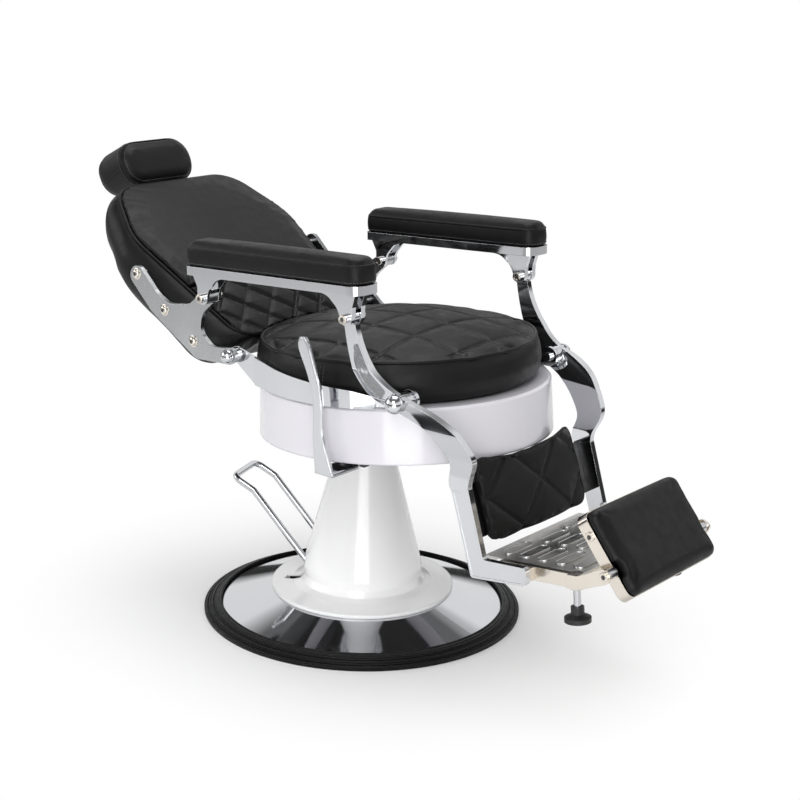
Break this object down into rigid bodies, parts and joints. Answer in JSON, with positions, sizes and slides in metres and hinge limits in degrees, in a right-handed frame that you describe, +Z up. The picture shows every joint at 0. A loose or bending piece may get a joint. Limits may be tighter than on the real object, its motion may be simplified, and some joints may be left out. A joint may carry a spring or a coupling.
{
  "type": "barber chair",
  "caption": "Classic reclining barber chair on a round pump base, with a quilted seat, linked arms and footrest, and a flip calf rest",
  "frame": {"origin": "centre of the round base on the floor", "axes": "+X forward to the footrest, +Y to the sitter's left, +Z up"},
  "size_m": [1.5398, 0.7, 0.967],
  "materials": {
    "ring_rubber": "matte ribbed rubber",
    "cast_base": "plain casting",
    "bright_chrome": "mirror plated",
    "satin_chrome": "satin plated",
    "warm_nickel": "warm nickel plated",
    "stainless_tread": "stamped stainless sheet",
    "plain_steel": "turned steel",
    "dark_steel": "black painted steel",
    "white_enamel": "gloss enamel",
    "board_wood": "plain plywood",
    "black_leather": "semi-matte upholstery",
    "black_plastic": "moulded plastic"
  },
  "bodies": {
    "base": {"base_rubber_ring": "ring_rubber", "base_plate": "cast_base", "base_chrome_disc": "bright_chrome", "pump_cover": "white_enamel", "pump_cylinder": "dark_steel", "pedal_bearings": "dark_steel"},
    "pedal": {"pump_pedal": "bright_chrome"},
    "plunger": {"pump_plunger": "plain_steel"},
    "ram": {"ram": "plain_steel"},
    "seat": {"seat_frame": "dark_steel", "seat_board": "board_wood", "seat_skirt": "white_enamel", "seat_cushion": "black_leather", "seat_rail_right": "bright_chrome", "seat_rail_left": "bright_chrome", "pivot_balls": "bright_chrome", "lever_brackets": "dark_steel"},
    "back": {"back_shell": "black_leather", "back_cushion": "black_leather", "lumbar_cushion": "black_leather", "back_side_plate_right": "satin_chrome", "back_side_plate_left": "satin_chrome", "arm_rear_pins": "plain_steel", "headrest_sleeves": "plain_steel"},
    "headrest": {"headrest_posts": "bright_chrome", "headrest_cushion": "black_leather"},
    "front_frame": {"front_arm_right": "bright_chrome", "front_arm_left": "bright_chrome", "arm_front_pins": "plain_steel", "footrest_arm_right": "bright_chrome", "footrest_arm_left": "bright_chrome", "foot_frame": "warm_nickel", "footplate": "stainless_tread", "hinge_arms": "warm_nickel", "hinge_pins": "plain_steel", "foot_stems": "plain_steel", "foot_pads": "black_plastic", "calf_board": "black_plastic", "calf_pad": "black_leather"},
    "flip_rest": {"flip_pan": "warm_nickel", "flip_pad": "black_leather"},
    "armrest_right": {"arm_frame_right": "bright_chrome", "arm_pad_right": "black_leather"},
    "armrest_left": {"arm_frame_left": "bright_chrome", "arm_pad_left": "black_leather"},
    "lever": {"recline_lever": "bright_chrome"}
  },
  "joints": [
    {"name": "lift", "type": "slide", "parent": "base", "child": "ram", "axis": [0, 0, 1], "range_m": [0, 0.17]},
    {"name": "swivel", "type": "hinge", "parent": "ram", "child": "seat", "pos_m": [0, 0, 0.4823], "axis": [0, 0, 1], "continuous": true},
    {"name": "recline", "type": "hinge", "parent": "seat", "child": "back", "pos_m": [-0.1325, 0, 0.601], "axis": [0, 1, 0], "range_deg": [0, 34]},
    {"name": "front_swing", "type": "hinge", "parent": "seat", "child": "front_frame", "pos_m": [0.3105, 0, 0.586], "axis": [0, 1, 0], "range_deg": [-0.1, 25]},
    {"name": "arm_pivot_right", "type": "hinge", "parent": "front_frame", "child": "armrest_right", "pos_m": [0.202, -0.285, 0.739], "axis": [0, 1, 0], "range_deg": [-28, 0.1]},
    {"name": "arm_pivot_left", "type": "hinge", "parent": "front_frame", "child": "armrest_left", "pos_m": [0.202, 0.285, 0.739], "axis": [0, 1, 0], "range_deg": [-28, 0.1]},
    {"name": "headrest_slide", "type": "slide", "parent": "back", "child": "headrest", "axis": [-0.8387, 0, 0.5446], "range_m": [0, 0.085]},
    {"name": "flip_hinge", "type": "hinge", "parent": "front_frame", "child": "flip_rest", "pos_m": [0.737, 0, 0.322], "axis": [0, 1, 0], "range_deg": [-36, 70]},
    {"name": "lever_pull", "type": "hinge", "parent": "seat", "child": "lever", "pos_m": [0.186, -0.34, 0.434], "axis": [0, 1, 0], "range_deg": [-16, 0], "stiffness_Nm_per_rad": 6, "springref_deg": 11.46},
    {"name": "pedal_press", "type": "hinge", "parent": "base", "child": "pedal", "pos_m": [-0.05677, -0.01944, 0.05], "axis": [0.3239, -0.9461, 0], "range_deg": [0, 18], "stiffness_Nm_per_rad": 12, "springref_deg": -22.92},
    {"name": "plunger_stroke", "type": "slide", "parent": "base", "child": "plunger", "axis": [0, 0, -1], "range_m": [-0.0001, 0.009]}
  ],
  "couplings": [
    {"joint": "front_swing", "follows": "recline", "ratio": 0.728},
    {"joint": "arm_pivot_right", "follows": "recline", "ratio": -0.815},
    {"joint": "arm_pivot_left", "follows": "recline", "ratio": -0.815},
    {"joint": "plunger_stroke", "follows": "pedal_press", "m_per_rad": 0.028}
  ]
}
